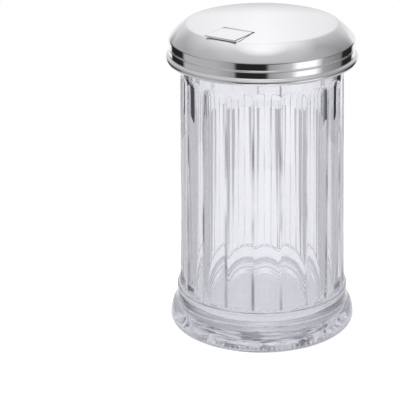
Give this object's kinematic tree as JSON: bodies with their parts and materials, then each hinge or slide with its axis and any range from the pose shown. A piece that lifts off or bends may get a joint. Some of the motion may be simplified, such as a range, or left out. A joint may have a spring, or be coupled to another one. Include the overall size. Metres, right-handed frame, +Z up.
{
  "type": "sugar dispenser",
  "caption": "Fluted glass sugar dispenser with a flared foot and a polished screw lid whose small rectangular flap swings open to pour.",
  "frame": {"origin": "centre of the foot's underside, on the surface the dispenser stands on", "axes": "+Z up along the jar's axis, -Y towards the side of the lid that carries the flap"},
  "size_m": [0.0798, 0.0798, 0.1333],
  "materials": {
    "jar_glass": "clear pressed glass",
    "lid_steel": "polished stainless sheet",
    "sleeve_steel": "plain drawn sheet",
    "flap_steel": "polished stainless sheet",
    "pin_steel": "drawn wire",
    "bracket_steel": "plain sheet"
  },
  "bodies": {
    "jar": {"jar": "jar_glass"},
    "lid": {"lid_shell": "lid_steel", "threaded_sleeve": "sleeve_steel", "hinge_pin": "pin_steel", "hinge_bracket": "bracket_steel"},
    "flap": {"flap": "flap_steel"}
  },
  "joints": [
    {"name": "lid_lift", "type": "slide", "parent": "jar", "child": "lid", "axis": [0, 0, 1], "range_m": [0, 0.03]},
    {"name": "flap_hinge", "type": "hinge", "parent": "lid", "child": "flap", "pos_m": [0, -0.0185, 0.13156], "axis": [-1, 0, 0], "range_deg": [0, 95]}
  ]
}
